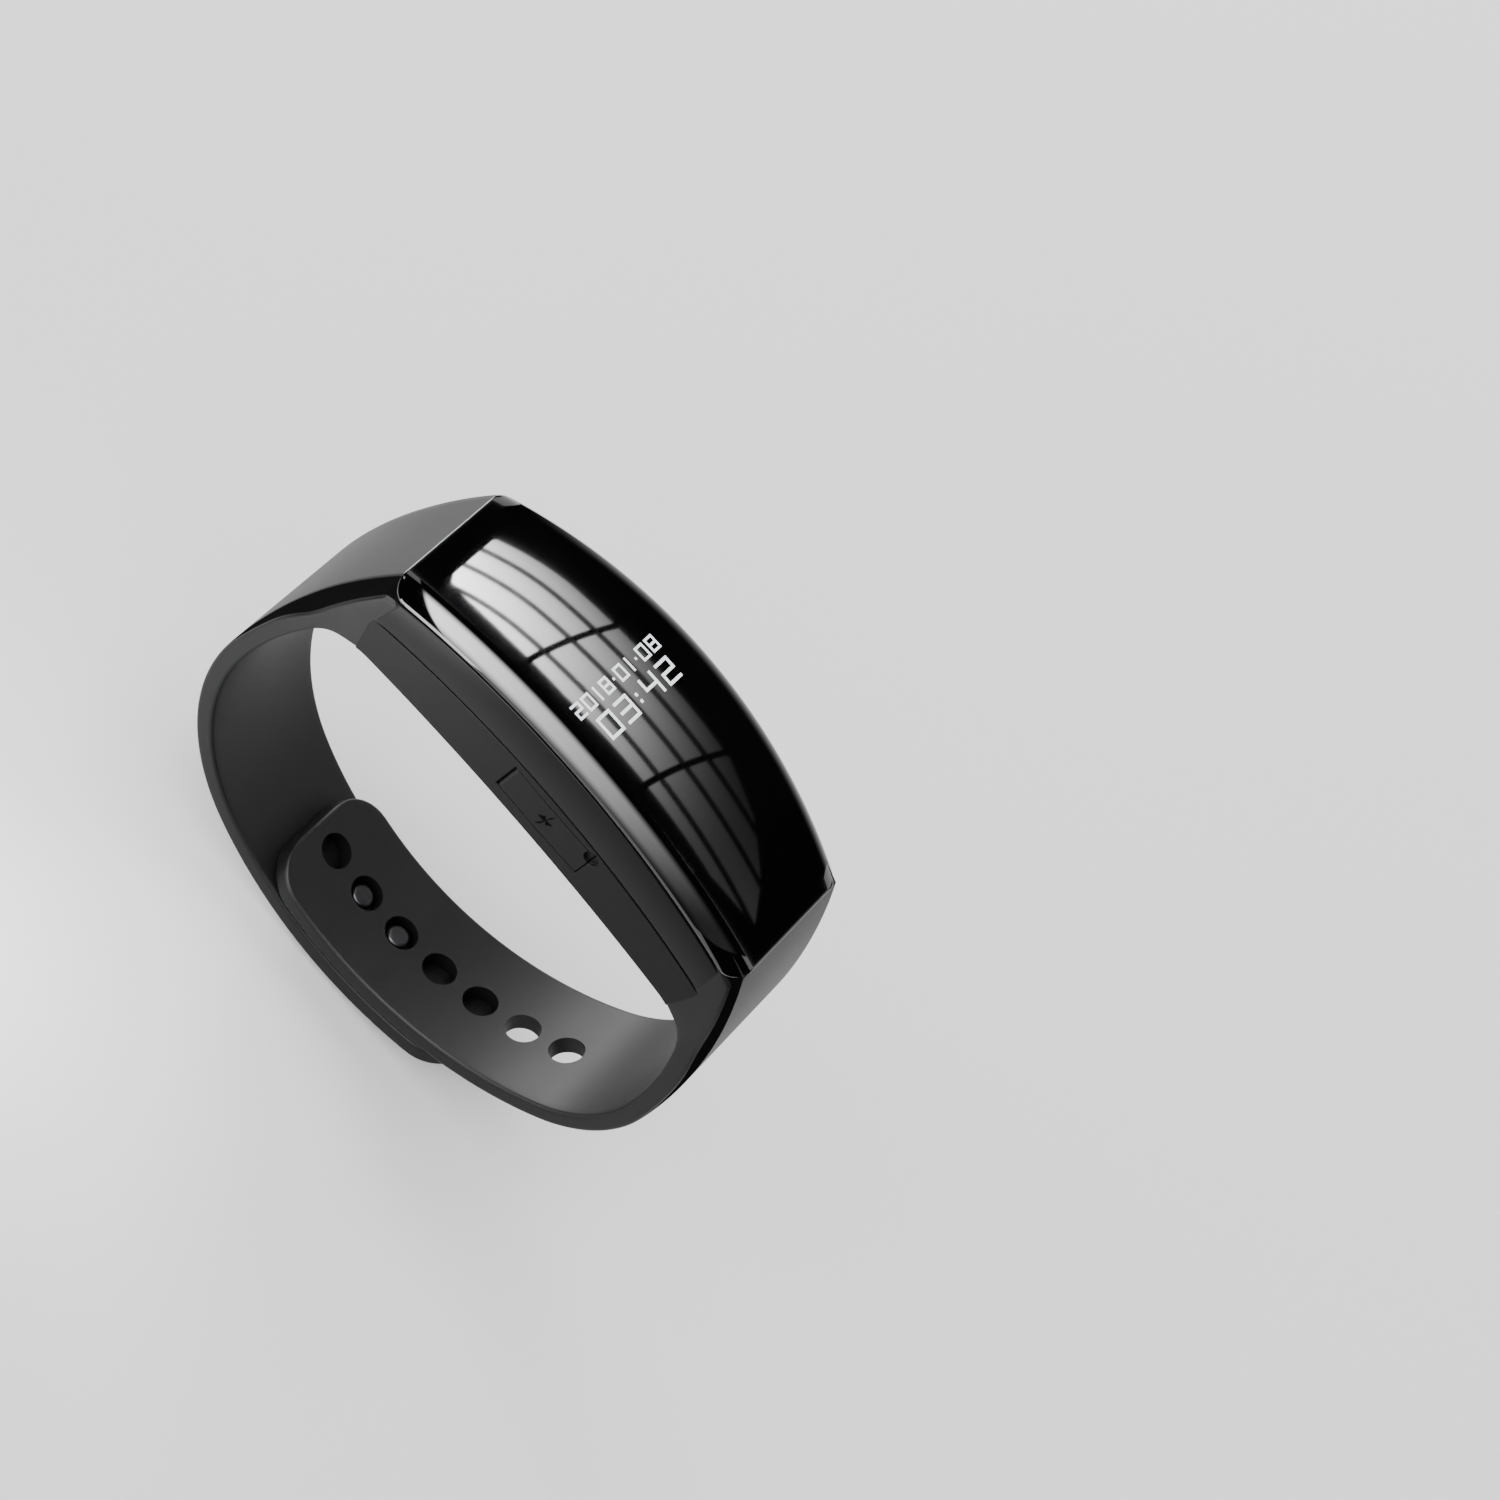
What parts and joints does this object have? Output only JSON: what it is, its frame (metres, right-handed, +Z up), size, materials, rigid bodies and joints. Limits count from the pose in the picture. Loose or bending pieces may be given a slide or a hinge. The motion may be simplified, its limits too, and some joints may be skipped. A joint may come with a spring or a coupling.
{
  "type": "fitness tracker band",
  "caption": "Fitness tracker band: long arched module with a curved glass face on a moulded strap that closes under the wrist with a pegged clasp.",
  "frame": {"origin": "middle of the clasp plate's flat outer face, at the bottom centre of the closed band", "axes": "+Z up through the module on top, +X along the module, +Y along the wrist away from the charging port"},
  "size_m": [0.0646, 0.0228, 0.0603],
  "materials": {
    "housing": "fine matte moulded surface",
    "bezel": "satin moulded surface",
    "lens": "polished, black-backed",
    "seal": "soft matte",
    "touch_film": "clear film",
    "display": "dark laminated panel",
    "flex": "amber film",
    "frame_metal": "stamped",
    "battery_foil": "pouch foil",
    "board": "solder mask",
    "chip": "moulded package",
    "shield": "tinned shield can",
    "antenna_ceramic": "fired ceramic",
    "steel": "bright steel",
    "tongue": "moulded",
    "gold": "plated contacts",
    "flap": "fine matte",
    "window": "dark clear window",
    "led": "clear encapsulated dies",
    "weight": "sintered heavy metal",
    "strap": "fine matte moulded elastomer",
    "clasp": "dark coated, brushed"
  },
  "bodies": {
    "case": {"lower_housing": "housing", "upper_bezel": "bezel", "cover_lens": "lens", "lens_gasket": "seal", "case_seal": "seal", "touch_sensor": "touch_film", "display_panel": "display", "display_flex": "flex", "inner_frame": "frame_metal", "battery": "battery_foil", "main_board": "board", "processor_chip": "chip", "memory_chip": "chip", "radio_module": "shield", "motion_sensor": "chip", "antenna": "antenna_ceramic", "charging_socket": "steel", "socket_tongue": "tongue", "socket_contacts": "gold", "sensor_window": "window", "sensor_board": "board", "sensor_leds": "led", "vibration_motor": "steel", "case_screws": "steel", "strap_pins": "steel", "strap_left": "strap", "strap_right": "strap"},
    "port_flap": {"port_flap": "flap"},
    "motor_weight": {"motor_shaft": "steel", "motor_weight": "weight"},
    "clasp_layer": {"strap_left_end": "strap", "clasp_plate": "clasp", "clasp_pegs": "clasp"},
    "strap_tail": {"strap_right_tail": "strap"}
  },
  "joints": [
    {"name": "clasp_peel", "type": "hinge", "parent": "case", "child": "clasp_layer", "pos_m": [-0.0175, 0, 0.00568], "axis": [0, 1, 0], "range_deg": [0, 60], "stiffness_Nm_per_rad": 0.03},
    {"name": "tail_flex", "type": "hinge", "parent": "case", "child": "strap_tail", "pos_m": [0.018, 0, 0.00864], "axis": [0, -1, 0], "range_deg": [0, 12], "stiffness_Nm_per_rad": 0.03},
    {"name": "flap_hinge", "type": "hinge", "parent": "case", "child": "port_flap", "pos_m": [-0.00392, -0.01087, 0.05045], "axis": [0, 0, -1], "range_deg": [0, 90]},
    {"name": "motor_spin", "type": "hinge", "parent": "case", "child": "motor_weight", "pos_m": [0.0206, 0.003, 0.05], "axis": [0, 1, 0], "continuous": true}
  ],
  "couplings": [
    {"joint": "tail_flex", "follows": "clasp_peel", "ratio": 0.2}
  ]
}
